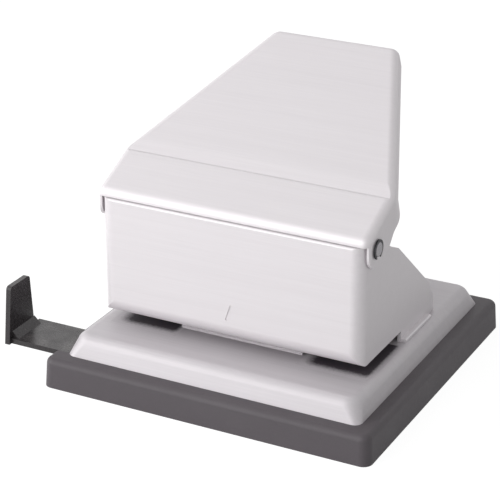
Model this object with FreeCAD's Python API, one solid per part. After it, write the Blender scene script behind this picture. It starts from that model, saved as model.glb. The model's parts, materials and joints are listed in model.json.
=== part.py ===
import FreeCAD, Part
import math
import os

# Desk punch with a long pressing handle. Millimetres, +Z up, the paper goes in from -Y.
# One STEP file per piece is written into parts/.

V = FreeCAD.Vector

# ---- general ----------------------------------------------------------------
part_gap = 0.3               # between pieces that pass each other
run_gap = 0.05               # radial gap of a running fit
mark_wide = 0.9              # pressed stroke in the middle of the front
mark_deep = 0.35
mark_from = (-0.85, 9.0)     # across, and up from the lip
mark_to = (1.35, 15.6)

# ---- tray -------------------------------------------------------------------
tray_length = 143.8          # along X, at the foot of the tray
tray_width = 137.2           # along Y, at the foot of the tray
foot_out = 0.15              # the feet stand this far below the tray
foot_r = 6.0
foot_inset = 15.0
foot_socket = 1.2
tray_draft = 0.7             # the wall leans in by this much
tray_corner = 4.0
tray_shoulder = 2.5          # round along the top of the wall
tray_wall = 2.2
tray_floor = 2.0
ledge_z = 12.5               # top of the ledge that the steel plate stands on
ledge_thick = 2.2
ledge_under = 3.0            # the ledge reaches this far in under the plate's edge

# ---- base plate -------------------------------------------------------------
plate_inset = 7.4            # tray foot to the plate's lower edge, in plan
plate_height = 8.5
plate_sheet = 1.5
plate_lean = 2.8
plate_round = 4.4
plate_corner = (3.5, 7.5)     # at the lower edge, and on top
plate_top_z = ledge_z + plate_height

# ---- housing ----------------------------------------------------------------
housing_half = 56.9          # half the outer width
housing_sheet = 1.4
front_y = -44.1
slot_high = 4.9              # plate to the housing's underside
lip_round = 6.5
corner_round = 4.9
front_edge_round = 1.0
housing_depth = 72.7
roof_lip = 4.5               # the roof's raised front edge, from front to back
roof_front = 10.1            # the roof starts to fall this far behind the front
roof_rear = (33.7, 9.9)      # behind the front, and below the roof
slope_end = (66.7, 15.2)     # behind the front, and above the plate
roof_rear_round = 9.0
slope_end_round = 7.0
lip_rise = 2.2               # the raised edge stands this far over the roof
front_strip = 3.5            # roof left in front of the handle's opening
mouth_depth = 31.0           # front to the end of the handle's opening
rear_flange = 16.0
side_foot = 2.2              # the side walls turn out this far where they stand on the plate
back_y = front_y + housing_depth
ceiling_z = plate_top_z + slot_high

# ---- punching ---------------------------------------------------------------
hole_spacing = 80.0
pin_r = 3.0
paper_margin = 12.0          # sheet edge to hole centre
pivot_back = 8.5             # housing front to the handle's axis
pivot_up = 48.1              # housing underside to the handle's axis
lever_arm = 15.7             # handle's axis to the pins' axis, and the cam's base radius
press_deg = 22.0
start_roll = 0.49            # roll of the cam curve at rest, in radians
table_high = 3.0             # the sheets lie this far over the plate
table_half = 27.0
table_ramp = 2.0
table_set_back = 11.0
tip_above_ceiling = 0.4
cam_gap = 0.15

pivot_y = front_y + pivot_back
pivot_z = ceiling_z + pivot_up
roof_z = pivot_z + 0.2
front_top_z = roof_z + lip_rise
table_z = plate_top_z + table_high
pin_x = hole_spacing / 2
pin_y = pivot_y + lever_arm
stop_y = pin_y + paper_margin
cap_top_z = pivot_z - lever_arm * start_roll - cam_gap
tip_z = ceiling_z + tip_above_ceiling
press_travel = lever_arm * math.radians(press_deg)

# ---- inner frame ------------------------------------------------------------
frame_sheet = 2.0
frame_side_gap = 2.5
frame_high = 26.1            # housing underside to the frame's top
frame_front = 11.0           # pins' axis to the frame's front edge
frame_bend = 1.6
foot_reach = 13.0
bush_r = 4.6
bush_flange_r = 6.0
bush_flange = 0.8
guide_height = 4.5
window_half = 15.0
window_x = 26.0
frame_half = housing_half - housing_sheet - frame_side_gap
frame_top_z = ceiling_z + frame_high
throat_y = stop_y + frame_sheet + 0.9     # end of the side slot

# ---- dies, rivets, caps, rings and springs ----------------------------------
die_spigot_r = 5.0
die_flange_r = 5.8
die_drop = 3.6               # the die reaches this far below the plate's top
rivet_r = 2.0
rivet_head_r = 3.4
rivet_head = 1.3
rivet_x = (17.0, 45.0)
rear_rivet_in = 9.0
cap_r = 5.6
cap_thick = 2.6
skirt_deep = 1.6
skirt_wall = 0.6
stem_r = 1.9
ring_r = 4.8
ring_thick = 0.8
ring_groove_r = 2.3
ring_z = frame_top_z - frame_sheet - part_gap - ring_thick - 0.4
wire_r = 0.55
coil_r = 4.15
coil_turns = 3.0

# ---- handle -----------------------------------------------------------------
axle_r = 3.0
clip_r = 3.9
clip_thick = 0.5
clip_groove = 0.6
ear_r = 4.2
handle_sheet = 1.5
handle_side_gap = 0.4
handle_length = 105.6        # along the plate, from the ridge's bend to the far end
handle_rise_deg = 24.43
handle_top_half = 27.9
handle_corner = 4.4
rim_round = 3.4
taper_along = 25.5           # the sides start to run together this far from the bend
taper_round = 14.0
crease_along = 22.8
crease_step = 1.3            # its short side, next to the ridge
crease_run = 7.0             # its long side, up the plate
crease_deep = 0.6
flange_depth = 8.3
flange_knee = 31.2           # along the plate
ridge_front = 7.8            # in front of the axis
ridge_foot = 2.7             # above the axis
ridge_high = 5.54
ridge_round = 4.0
lobe_front = 6.3
lobe_drop = 7.7
lobe_round = 6.0
lobe_heel = 8.1              # behind the axis
lobe_back = (15.4, 0.9)      # behind and above the axis
flange_back = (24.2, 5.4)
cam_thick = 4.0
hub_r = 4.6
cam_front = 4.5
cam_back = 13.0
handle_half = housing_half + handle_side_gap + handle_sheet
clip_x = handle_half + part_gap
ridge_bend = (pivot_y - ridge_front, pivot_z + ridge_high)
rise = math.radians(handle_rise_deg)

# ---- paper guide ------------------------------------------------------------
bar_thick = 2.2
bar_front_in = 10.0          # behind the tray's front
bar_wide = 21.0
bar_wide_in = 14.2           # the wide part's end, inside the tray's left side
bar_end_round = 3.0
slider_in = 6.6
slider_wide = 13.0
slider_clear = 1.1           # left between the slider and the ledge, slid right in
guide_in = 20.0              # how far the guide slides in from here
stop_clear = 0.8             # left between the stop and the tray, slid right in
stop_thick = 2.2
stop_top = 22.4              # the stop plate's top, above the bar
gusset = 3.0
strap_sheet = 1.0
strap_width = 5.0
strap_tab = 7.0
strap_span = 22.0            # from strap to strap
strap_hold = 5.0             # slider left beyond the right strap, slid right out
leaf_sheet = 0.5
leaf_wide = 6.0
tick_pitch = 10.0
tick_count = 8
bar_top_z = ledge_z - part_gap
bar_front_y = bar_front_in - tray_width / 2
bar_back_y = bar_front_y + bar_wide
bar_wide_end = bar_wide_in - tray_length / 2
slider_front_y = bar_front_y + slider_in
slider_back_y = slider_front_y + slider_wide
slider_end_x = tray_length / 2 - plate_inset - ledge_under - guide_in - slider_clear
stop_x = -tray_length / 2 - guide_in - stop_clear
stop_top_z = bar_top_z + stop_top
strap_x = (bar_wide_end + guide_in + 2.0, bar_wide_end + guide_in + 2.0 + strap_span)
guide_out = slider_end_x - strap_x[1] - strap_width - strap_hold     # and how far out


def block(x0, x1, y0, y1, z0, z1):
    return Part.makeBox(x1 - x0, y1 - y0, z1 - z0, V(x0, y0, z0))


def rod(r, x, y, z0, z1):
    return Part.makeCylinder(r, z1 - z0, V(x, y, z0), V(0, 0, 1))


def cross_rod(r, y, z, x0, x1):
    return Part.makeCylinder(r, x1 - x0, V(x0, y, z), V(1, 0, 0))


def side_prism(points, x0, x1):
    """Outline in Y and Z carried along X."""
    loop = [V(x0, y, z) for y, z in points]
    face = Part.Face(Part.makePolygon(loop + loop[:1]))
    return face.extrude(V(x1 - x0, 0, 0))


def plan_prism(points, z0, z1):
    loop = [V(x, y, z0) for x, y in points]
    face = Part.Face(Part.makePolygon(loop + loop[:1]))
    return face.extrude(V(0, 0, z1 - z0))


def rounded_wire(hx, hy, r, z):
    k = r * math.sqrt(0.5)
    edges = []
    corners = [(hx - r, -hy + r, -90), (hx - r, hy - r, 0), (-hx + r, hy - r, 90), (-hx + r, -hy + r, 180)]
    ends = []
    for cx, cy, a in corners:
        a0 = math.radians(a)
        a1 = math.radians(a + 90)
        start = V(cx + r * math.cos(a0), cy + r * math.sin(a0), z)
        middle = V(cx + k * (math.cos(a0) + math.cos(a1)), cy + k * (math.sin(a0) + math.sin(a1)), z)
        stop = V(cx + r * math.cos(a1), cy + r * math.sin(a1), z)
        ends.append((start, middle, stop))
    for i in range(4):
        start, middle, stop = ends[i]
        edges.append(Part.Arc(start, middle, stop).toShape())
        edges.append(Part.makeLine(stop, ends[(i + 1) % 4][0]))
    return Part.Wire(edges)


def tapered_block(hx, hy, corners, z0, inset, z1, top_round):
    """Rounded block that leans in; corners are its radii at the foot and on top."""
    wires = [rounded_wire(hx, hy, corners[0], z0), rounded_wire(hx - inset, hy - inset, corners[1], z1)]
    solid = Part.makeLoft(wires, True, True)
    if top_round > 0:
        rim = [e for e in solid.Edges if e.BoundBox.ZMin > z1 - 0.01]
        solid = solid.makeFillet(top_round, rim)
    return solid


def edges_along(solid, points, length):
    """Long edges across the part, through points of its side outline."""
    return [e for e in solid.Edges for y, z in points if e.BoundBox.XLength > length
            and abs(e.BoundBox.YMin - y) < 0.05 and abs(e.BoundBox.ZMin - z) < 0.05]


def edges_at(shape, test):
    return [e for e in shape.Edges if test(e.BoundBox)]


def cut_all(shape, tools):
    for tool in tools:
        shape = shape.cut(tool)
    return shape


def join_all(shapes):
    whole = shapes[0]
    for piece in shapes[1:]:
        whole = whole.fuse(piece)
    return whole.removeSplitter()


def save(name, shape):
    """Every piece is drawn about the tray's middle, then moved to the middle of the whole."""
    middle = (stop_x - stop_thick + tray_length / 2) / 2
    moved_shape = shape.copy()
    moved_shape.translate(V(-middle, 0, 0))
    moved_shape.exportStep("parts/" + name + ".step")


# ---- tray and feet ----------------------------------------------------------
def foot_places():
    x = tray_length / 2 - foot_inset
    y = tray_width / 2 - foot_inset
    return [(sx * x, sy * y) for sx in (-1, 1) for sy in (-1, 1)]


def chip_tray():
    hx = tray_length / 2
    hy = tray_width / 2
    body = tapered_block(hx, hy, (tray_corner, tray_corner), foot_out, tray_draft, ledge_z, tray_shoulder)
    bend = tray_corner - 2.0
    inner = tapered_block(hx - tray_wall, hy - tray_wall, (bend, bend), foot_out + tray_floor,
                          tray_draft, ledge_z - ledge_thick, 0.6 * bend)
    reach = plate_inset + ledge_under
    low = ledge_z - ledge_thick - 3.0
    mouth = tapered_block(hx - reach, hy - reach, (4.0, 4.0), low, 0.0, ledge_z + 1.0, 0)
    notch = block(-hx - 2.0, bar_wide_end + guide_in + 1.0, bar_front_y - part_gap - 0.2,
                  bar_back_y + part_gap + 0.2, bar_top_z - bar_thick - part_gap, ledge_z + 1.0)
    sockets = [rod(foot_r + 0.2, x, y, 0, foot_out + foot_socket) for x, y in foot_places()]
    return cut_all(body, [inner, mouth, notch] + sockets)


def rubber_feet():
    feet = []
    for x, y in foot_places():
        foot = rod(foot_r, x, y, 0, foot_out + foot_socket)
        feet.append(foot.makeFillet(0.4, edges_at(foot, lambda b: b.ZMax < 0.01)))
    return Part.makeCompound(feet)


# ---- base plate, dies and table ---------------------------------------------
def rivet_places():
    front = [(sx * x, stop_y + frame_sheet + foot_reach * 0.6) for sx in (-1, 1) for x in rivet_x]
    rear = [(sx * x, back_y - rear_rivet_in) for sx in (-1, 1) for x in rivet_x]
    return front, rear


def base_plate():
    hx = tray_length / 2 - plate_inset
    hy = tray_width / 2 - plate_inset
    skin = tapered_block(hx, hy, plate_corner, ledge_z, plate_lean, plate_top_z, plate_round)
    corners = [r - plate_sheet for r in plate_corner]
    under = tapered_block(hx - plate_sheet, hy - plate_sheet, corners, ledge_z - 0.01,
                          plate_lean, plate_top_z - plate_sheet, plate_round - plate_sheet)
    holes = [rod(die_spigot_r, sx * pin_x, pin_y, 0, table_z) for sx in (-1, 1)]
    front, rear = rivet_places()
    holes += [rod(rivet_r, x, y, 0, table_z) for x, y in front + rear]
    return cut_all(skin, [under] + holes)


def die(side):
    x = side * pin_x
    bottom = plate_top_z - die_drop
    ring = rod(die_spigot_r, x, pin_y, bottom, plate_top_z)
    flange = rod(die_flange_r, x, pin_y, plate_top_z, table_z)
    flange = flange.makeChamfer(0.5, edges_at(flange, lambda b: b.ZMin > table_z - 0.01))
    bore = rod(pin_r + run_gap, x, pin_y, bottom - 1, table_z + 1)
    relief = rod(pin_r + 0.6, x, pin_y, bottom - 1, plate_top_z - 1.6)
    return cut_all(join_all([ring, flange]), [bore, relief])


def paper_table():
    toe = front_y + table_set_back
    heel = stop_y - 2 * part_gap
    outline = [(toe, plate_top_z), (toe + table_ramp, table_z), (heel, table_z), (heel, plate_top_z)]
    table = side_prism(outline, -table_half, table_half)
    return table.makeFillet(0.8, edges_along(table, outline[1:2], table_half))


def rivet(x, y, low, high):
    shank = rod(rivet_r, x, y, low, high)
    top = rod(rivet_head_r, x, y, high, high + rivet_head)
    top = top.makeFillet(0.75 * rivet_head, edges_at(top, lambda b: b.ZMin > high + rivet_head - 0.01))
    tail = rod(rivet_head_r * 0.8, x, y, low - rivet_head * 0.7, low)
    return join_all([shank, top, tail])


def frame_rivets():
    low = plate_top_z - plate_sheet
    front, rear = rivet_places()
    return Part.makeCompound([rivet(x, y, low, plate_top_z + frame_sheet) for x, y in front])


def housing_rivets():
    low = plate_top_z - plate_sheet
    front, rear = rivet_places()
    return Part.makeCompound([rivet(x, y, low, plate_top_z + housing_sheet) for x, y in rear])


# ---- housing ----------------------------------------------------------------
def housing_outline(t):
    """Side outline, moved inwards by t."""
    crown_y = front_y + roof_front
    rear_y = front_y + roof_rear[0]
    rear_z = roof_z - roof_rear[1]
    end_y = front_y + slope_end[0]
    end_z = plate_top_z + slope_end[1]
    slope = math.atan2(rear_z - end_z, end_y - rear_y)
    roof = math.atan2(roof_z - rear_z, rear_y - crown_y)
    nook_z = end_z - 0.6 * slope_end[1]
    return [(front_y + t, ceiling_z + t), (front_y + t, front_top_z - t),
            (front_y + roof_lip - t * 0.3, front_top_z - t), (crown_y, roof_z - t), (rear_y - t * math.sin(roof), rear_z - t),
            (end_y - t * math.sin(slope), end_z - t * math.cos(slope)), (back_y - t, nook_z - t * 0.3),
            (back_y - t, plate_top_z), (throat_y, plate_top_z), (throat_y, ceiling_z + t)]


def housing_solid(t, half):
    outline = housing_outline(t)
    solid = side_prism(outline, -half, half)
    rounds = ((0, lip_round), (1, front_edge_round), (4, roof_rear_round), (5, slope_end_round))
    for i, r in rounds:
        solid = solid.makeFillet(max(r - t, 0.5), edges_along(solid, outline[i:i + 1], 2 * half - 0.1))
    return solid


def corner_cutter(r, half, y, sign):
    """What is left of a square post once its upright edge is rounded."""
    x0 = min(sign * half, sign * (half - r))
    post = block(x0, x0 + r, y, y + r, 0, front_top_z + 10)
    return post.cut(rod(r, sign * (half - r), y + r, 0, front_top_z + 10))


def centre_mark():
    """Pressed stroke that shows the middle of the front."""
    dx = mark_to[0] - mark_from[0]
    dz = mark_to[1] - mark_from[1]
    k = mark_wide / 2 / math.hypot(dx, dz)
    low = ceiling_z
    loop = [V(mark_from[0] - dz * k, front_y, low + mark_from[1] + dx * k),
            V(mark_from[0] + dz * k, front_y, low + mark_from[1] - dx * k),
            V(mark_to[0] + dz * k, front_y, low + mark_to[1] - dx * k),
            V(mark_to[0] - dz * k, front_y, low + mark_to[1] + dx * k)]
    return Part.Face(Part.makePolygon(loop + loop[:1])).extrude(V(0, mark_deep, 0))


def body_housing():
    t = housing_sheet
    half = housing_half - t
    outer = housing_solid(0.0, housing_half)
    outer = cut_all(outer, [corner_cutter(corner_round, housing_half, front_y, s) for s in (-1, 1)])
    inner = housing_solid(t, half)
    inner = cut_all(inner, [corner_cutter(corner_round - t, half, front_y + t, s) for s in (-1, 1)])
    flange_y = back_y - rear_flange
    floor_cut = block(-half, half, stop_y - part_gap, flange_y - t, plate_top_z - 1, ceiling_z + t + 0.1)
    rear_foot = block(-half, half, flange_y, back_y - t, plate_top_z, plate_top_z + t)
    mouth = block(-half, half, front_y + front_strip, front_y + mouth_depth,
                  roof_z - roof_rear[1] - 4, front_top_z + 10)
    ears = []
    for s in (-1, 1):
        x0 = min(s * housing_half, s * half)
        ear = cross_rod(ear_r, pivot_y, pivot_z, x0, x0 + t)
        neck = block(x0, x0 + t, pivot_y - ear_r, pivot_y + ear_r, pivot_z - 3 * ear_r, pivot_z)
        ears.append(ear.fuse(neck))
    feet = []
    for s in (-1, 1):
        x0 = min(s * half, s * (housing_half + side_foot))
        foot = block(x0, x0 + t + side_foot, throat_y + 0.5, back_y - slope_end_round, plate_top_z, plate_top_z + t)
        rim = edges_at(foot, lambda b: b.YLength > 1 and b.ZMin > plate_top_z + t - 0.01
                       and abs(b.XMin + b.XMax) > 2 * (housing_half + 0.1))
        feet.append(foot.makeFillet(0.6, rim))
    shell = cut_all(outer.cut(inner), [floor_cut, mouth])
    shell = join_all([shell, rear_foot] + ears + feet)
    holes = [cross_rod(axle_r + run_gap, pivot_y, pivot_z, -housing_half - 5, housing_half + 5)]
    holes += [rod(pin_r + 0.5, s * pin_x, pin_y, ceiling_z - 2, ceiling_z + 4) for s in (-1, 1)]
    front, rear = rivet_places()
    holes += [rod(rivet_r, x, y, plate_top_z - 1, plate_top_z + 5) for x, y in rear]
    return cut_all(shell, holes + [centre_mark()])


# ---- punch frame and bushes -------------------------------------------------
def punch_frame():
    low = ceiling_z + housing_sheet
    t = frame_sheet
    frame_front_y = pin_y - frame_front
    lower = block(-frame_half, frame_half, frame_front_y, stop_y, low, low + t)
    wall = block(-frame_half, frame_half, stop_y, stop_y + t, plate_top_z, frame_top_z)
    upper = block(-frame_half, frame_half, frame_front_y, stop_y, frame_top_z - t, frame_top_z)
    foot = block(-frame_half, frame_half, stop_y + t, stop_y + t + foot_reach, plate_top_z, plate_top_z + t)
    frame = join_all([lower, wall, upper, foot])
    frame = frame.makeFillet(frame_bend, edges_along(frame, [(stop_y + t, frame_top_z)], frame_half))
    holes = [rod(bush_r, s * pin_x, pin_y, low - 1, frame_top_z + 1) for s in (-1, 1)]
    front, rear = rivet_places()
    holes += [rod(rivet_r, x, y, plate_top_z - 1, plate_top_z + 5) for x, y in front]
    windows = [block(s * window_x - window_half, s * window_x + window_half, stop_y - 1, stop_y + t + 1,
                     low + 4 * t, frame_top_z - 3.5 * t) for s in (-1, 1)]
    return cut_all(frame, holes + windows)


def sleeve(side, z0, z1, flange_height):
    x = side * pin_x
    bush = join_all([rod(bush_r, x, pin_y, z0, z1), rod(bush_flange_r, x, pin_y, z1, z1 + flange_height)])
    bush = bush.makeChamfer(0.3, edges_at(bush, lambda b: b.ZMin > z1 + flange_height - 0.01))
    return bush.cut(rod(pin_r + run_gap, x, pin_y, z0 - 1, z1 + flange_height + 1))


def lower_bush(side):
    low = ceiling_z + housing_sheet
    return sleeve(side, low, low + frame_sheet, guide_height)


def upper_bush(side):
    return sleeve(side, frame_top_z - frame_sheet, frame_top_z, bush_flange)


# ---- punches ----------------------------------------------------------------
def punch_pin(side):
    x = side * pin_x
    neck_z = cap_top_z - cap_thick
    shank = rod(pin_r, x, pin_y, tip_z, neck_z)
    stem = rod(stem_r, x, pin_y, neck_z, cap_top_z)
    pin = join_all([shank, stem])
    hollow = cross_rod(2.7 * pin_r, pin_y, tip_z - 2.5 * pin_r, x - 2 * pin_r, x + 2 * pin_r)
    groove = rod(pin_r + 1, x, pin_y, ring_z, ring_z + ring_thick + 0.2)
    groove = groove.cut(rod(ring_groove_r, x, pin_y, ring_z, ring_z + ring_thick + 0.2))
    return cut_all(pin, [hollow, groove])


def spring_cap(side):
    x = side * pin_x
    cap = rod(cap_r, x, pin_y, cap_top_z - cap_thick, cap_top_z)
    cap = cap.makeFillet(0.6, edges_at(cap, lambda b: b.ZMin > cap_top_z - 0.01))
    skirt = rod(cap_r, x, pin_y, cap_top_z - cap_thick - skirt_deep, cap_top_z - cap_thick)
    skirt = skirt.cut(rod(cap_r - skirt_wall, x, pin_y, 0, cap_top_z))
    return join_all([cap, skirt]).cut(rod(stem_r, x, pin_y, 0, cap_top_z + 1))


def pin_ring(side):
    x = side * pin_x
    ring = rod(ring_r, x, pin_y, ring_z + 0.1, ring_z + 0.1 + ring_thick)
    gap = block(x - 1.6, x + 1.6, pin_y - 2 * ring_r, pin_y, ring_z, ring_z + ring_thick + 0.2)
    return cut_all(ring, [rod(ring_groove_r + run_gap, x, pin_y, ring_z, ring_z + ring_thick + 0.2), gap])


def return_spring(side):
    x = side * pin_x
    low = frame_top_z + bush_flange
    high = cap_top_z - cap_thick
    pitch = (high - low - 2 * wire_r) / coil_turns
    coil = Part.makeHelix(pitch, pitch * coil_turns, coil_r)
    coil.translate(V(0, 0, low + wire_r))
    start = V(coil_r, 0, low + wire_r)
    section = Part.Wire(Part.Circle(start, V(0, 1, 0), wire_r).toShape())
    spring = Part.Wire(coil.Edges).makePipeShell([section], True, True)
    spring.translate(V(x, pin_y, 0))
    return spring


# ---- axle -------------------------------------------------------------------
def axle():
    end = clip_x + clip_thick + 0.2
    bar = cross_rod(axle_r, pivot_y, pivot_z, -end, end)
    bar = bar.makeChamfer(0.4, edges_at(bar, lambda b: b.XLength < 0.01))
    for s in (-1, 1):
        x0 = min(s * clip_x, s * (clip_x + clip_thick))
        groove = cross_rod(axle_r + 1, pivot_y, pivot_z, x0, x0 + clip_thick)
        bar = bar.cut(groove.cut(cross_rod(axle_r - clip_groove, pivot_y, pivot_z, x0, x0 + clip_thick)))
    return bar


def axle_clip(side):
    x0 = min(side * clip_x, side * (clip_x + clip_thick))
    ring = cross_rod(clip_r, pivot_y, pivot_z, x0, x0 + clip_thick)
    gap = block(x0 - 1, x0 + clip_thick + 1, pivot_y - 1.6, pivot_y + 1.6, pivot_z - 2 * clip_r, pivot_z)
    return cut_all(ring, [cross_rod(axle_r - clip_groove, pivot_y, pivot_z, x0, x0 + clip_thick), gap])


# ---- handle -----------------------------------------------------------------
def moved(point, along, down):
    """Shift a point of the handle's side outline along and under the plate."""
    return (point[0] + math.cos(rise) * along + math.sin(rise) * down,
            point[1] + math.sin(rise) * along - math.cos(rise) * down)


def along_plate(point):
    return (point.y - ridge_bend[0]) * math.cos(rise) + (point.z - ridge_bend[1]) * math.sin(rise)


def above_plate(point):
    return (point.z - ridge_bend[1]) * math.cos(rise) - (point.y - ridge_bend[0]) * math.sin(rise)


def handle_taper(t):
    """What the handle's sides and far end bound, square to the plate, moved inwards by t."""
    lean = math.atan2(handle_half - handle_top_half, handle_length - taper_along)
    wide = handle_half - t
    knee = taper_along + t * (1 - 1 / math.cos(lean)) / math.tan(lean)
    end = handle_length - t
    top = wide - (end - knee) * math.tan(lean)
    plan = [(-wide, -40), (wide, -40), (wide, knee), (top, end), (-top, end), (-wide, knee)]
    loop = [V(x, *moved(ridge_bend, along, 60)) for x, along in plan]
    square = V(0, -math.sin(rise), math.cos(rise))
    prism = Part.Face(Part.makePolygon(loop + loop[:1])).extrude(square * 120)
    upright = [e for e in prism.Edges if abs(e.Length - 120) < 0.1]
    far = [e for e in upright if abs(along_plate(e.CenterOfMass) - end) < 0.1]
    prism = prism.makeFillet(max(handle_corner - t, 1.0), far)
    bent = [e for e in prism.Edges if abs(e.Length - 120) < 0.1
            and abs(along_plate(e.CenterOfMass) - knee) < 0.1]
    return prism.makeFillet(taper_round - t, bent)


def handle_block():
    front = pivot_y - lobe_front
    bottom = pivot_z - lobe_drop
    foot = (ridge_bend[0], pivot_z + ridge_foot)
    far = handle_length + 10
    heel = (pivot_y + lobe_heel, bottom)
    back = (pivot_y + lobe_back[0], pivot_z + lobe_back[1])
    tab = (pivot_y + flange_back[0], pivot_z + flange_back[1])
    outline = [foot, ridge_bend, moved(ridge_bend, far, 0), moved(ridge_bend, far, flange_depth),
               moved(ridge_bend, flange_knee, flange_depth), tab, back, heel,
               (front, bottom), (front, foot[1])]
    solid = side_prism(outline, -handle_half, handle_half)
    rounds = ((ridge_bend, ridge_round), ((front, bottom), lobe_round), (heel, lobe_round), (tab, 1.5),
              (back, lobe_round))
    for point, r in rounds:
        solid = solid.makeFillet(r, edges_along(solid, [point], handle_half))
    return solid.common(handle_taper(0.0))


def round_rim(solid, t):
    """Round the long edges of the handle's top, and those they run into."""
    rim = [e for e in solid.Edges if abs(above_plate(e.CenterOfMass) + t) < 0.3
           and e.BoundBox.YMax > ridge_bend[0] + ridge_round + 1 and e.BoundBox.XLength < 1.7 * handle_half]
    return solid.makeFillet(rim_round - t, rim)


def handle_void():
    t = handle_sheet
    front = ridge_bend[0] + t
    along = t * (1 - math.sin(rise)) / math.cos(rise)
    bend = moved(ridge_bend, along, t)
    end = moved(ridge_bend, handle_length + 10, t)
    low = pivot_z - 2 * lobe_drop
    solid = side_prism([(front, low), bend, end, (end[0], low)], -handle_half + t, handle_half - t)
    solid = solid.makeFillet(ridge_round - t, edges_along(solid, [bend], handle_half))
    return round_rim(solid.common(handle_taper(t)), t)


def crease():
    """Pressed step across the handle where the ridge meets the plate."""
    lowest = moved(ridge_bend, crease_along + crease_step, crease_deep)
    near = moved(ridge_bend, crease_along - 0.5 * crease_step, -0.5 * crease_deep)
    far = moved(ridge_bend, crease_along + crease_step + 1.2 * crease_run, -0.2 * crease_deep)
    outline = [near, lowest, far, (far[0], far[1] + 1), (near[0], near[1] + 1)]
    return side_prism(outline, -handle_half - 2, handle_half + 2)


def handle_shell():
    shell = round_rim(handle_block(), 0.0)
    shell = shell.cut(handle_void())
    inside = handle_half - handle_sheet
    front_gap = block(-inside, inside, ridge_bend[0] - 10, pivot_y + flange_back[0],
                      pivot_z - 2 * lobe_drop, pivot_z + ridge_foot)
    bore = cross_rod(axle_r + run_gap, pivot_y, pivot_z, -handle_half - 5, handle_half + 5)
    return cut_all(shell, [front_gap, crease(), bore])


def cam_curve(roll):
    """Point of the cam's working curve, an involute, relative to the pivot."""
    reach = start_roll + roll
    y = lever_arm * (math.cos(roll) + reach * math.sin(roll))
    z = lever_arm * (math.sin(roll) - reach * math.cos(roll))
    return (pivot_y + y, pivot_z + z)


def cam(side):
    x0 = side * pin_x - cam_thick / 2
    steps = 14
    last = math.radians(press_deg + 5)
    first = math.radians(-6)
    curve = [cam_curve(first + (last - first) * i / steps) for i in range(steps + 1)]
    tip = curve[-1]
    working = Part.BSplineCurve()
    working.interpolate([V(x0, y, z) for y, z in curve])
    rest = [V(x0, tip[0], tip[1]), V(x0, tip[0] + 0.6, tip[1] + 2.2),
            V(x0, pivot_y + cam_back, pivot_z + 2 * cam_back),
            V(x0, pivot_y - cam_front, pivot_z + 2 * cam_back),
            V(x0, pivot_y - cam_front, pivot_z),
            V(x0, pivot_y, pivot_z - hub_r * 0.99), V(x0, curve[0][0], curve[0][1])]
    wire = Part.Wire([working.toShape(), Part.makePolygon(rest)])
    plate = Part.Face(wire).extrude(V(cam_thick, 0, 0))
    plate = plate.fuse(cross_rod(hub_r, pivot_y, pivot_z, x0, x0 + cam_thick))
    plate = plate.common(handle_void()).removeSplitter()
    return plate.cut(cross_rod(axle_r + run_gap, pivot_y, pivot_z, x0 - 1, x0 + cam_thick + 1))


# ---- paper guide ------------------------------------------------------------
def paper_guide():
    low = bar_top_z - bar_thick
    wide = block(stop_x - 0.1, bar_wide_end, bar_front_y, bar_back_y, low, bar_top_z)
    ends = edges_at(wide, lambda b: b.ZLength > 1 and b.XMin > bar_wide_end - 0.1)
    wide = wide.makeFillet(bar_end_round, ends)
    slider = block(bar_wide_end - 1, slider_end_x, slider_front_y, slider_back_y, low, bar_top_z)
    fence = [(bar_front_y - 1.6, low), (bar_front_y + 1.5, stop_top_z), (bar_back_y - 5.7, stop_top_z),
             (bar_back_y - 3.7, low)]
    plate = side_prism(fence, stop_x - stop_thick, stop_x)
    top = edges_at(plate, lambda b: b.XLength > 1 and b.ZMin > stop_top_z - 0.1)
    plate = plate.makeFillet(1.6, top)
    web = [(stop_x - 0.05, bar_top_z), (stop_x - 0.05, bar_top_z + gusset), (stop_x + gusset, bar_top_z)]
    loop = [V(x, bar_front_y + 1.0, z) for x, z in web]
    rib = Part.Face(Part.makePolygon(loop + loop[:1])).extrude(V(0, bar_wide - 4.5, 0))
    middle = (bar_wide_end + slider_end_x) / 2
    first = middle - tick_pitch * tick_count / 2
    ticks = []
    for i in range(tick_count):
        x = first + tick_pitch * (i + 0.5)
        ticks.append(block(x, x + 0.8, slider_front_y - 1, slider_front_y + 0.45 * slider_wide,
                           bar_top_z - 0.4, bar_top_z + 1))
    return cut_all(join_all([wide, slider, plate, rib]), ticks)


def guide_strap(x):
    g = part_gap
    t = strap_sheet
    low = bar_top_z - bar_thick - g
    top = plate_top_z - plate_sheet
    front = slider_front_y - g
    back = slider_back_y + g
    web = block(x, x + strap_width, front - t, back + t, low - t, low)
    legs = [block(x, x + strap_width, front - t, front, low - t, top),
            block(x, x + strap_width, back, back + t, low - t, top)]
    tab = block(x, x + strap_width, back, back + strap_tab, top - t, top)
    strap = join_all([web, tab] + legs)
    bottom = edges_at(strap, lambda b: b.XLength > 1 and b.ZMax < low - t + 0.01 and b.YLength < 0.01)
    return strap.makeFillet(0.8 * t, bottom)


def guide_leaf():
    top = plate_top_z - plate_sheet
    low = bar_top_z + part_gap
    t = leaf_sheet
    x0 = strap_x[0] + strap_width + 2
    x1 = strap_x[1] - 2
    points = [(x1, top), (x1, top - t), (x1 - 5, top - t), (x0 + 3, low), (x0 + 1, low), (x0, low + 1.2),
              (x0, low + 1.2 + t), (x0 + 1.2, low + t), (x0 + 2.8, low + t), (x1 - 5.3, top)]
    front = (slider_front_y + slider_back_y - leaf_wide) / 2
    loop = [V(x, front, z) for x, z in points]
    return Part.Face(Part.makePolygon(loop + loop[:1])).extrude(V(0, leaf_wide, 0))


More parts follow.
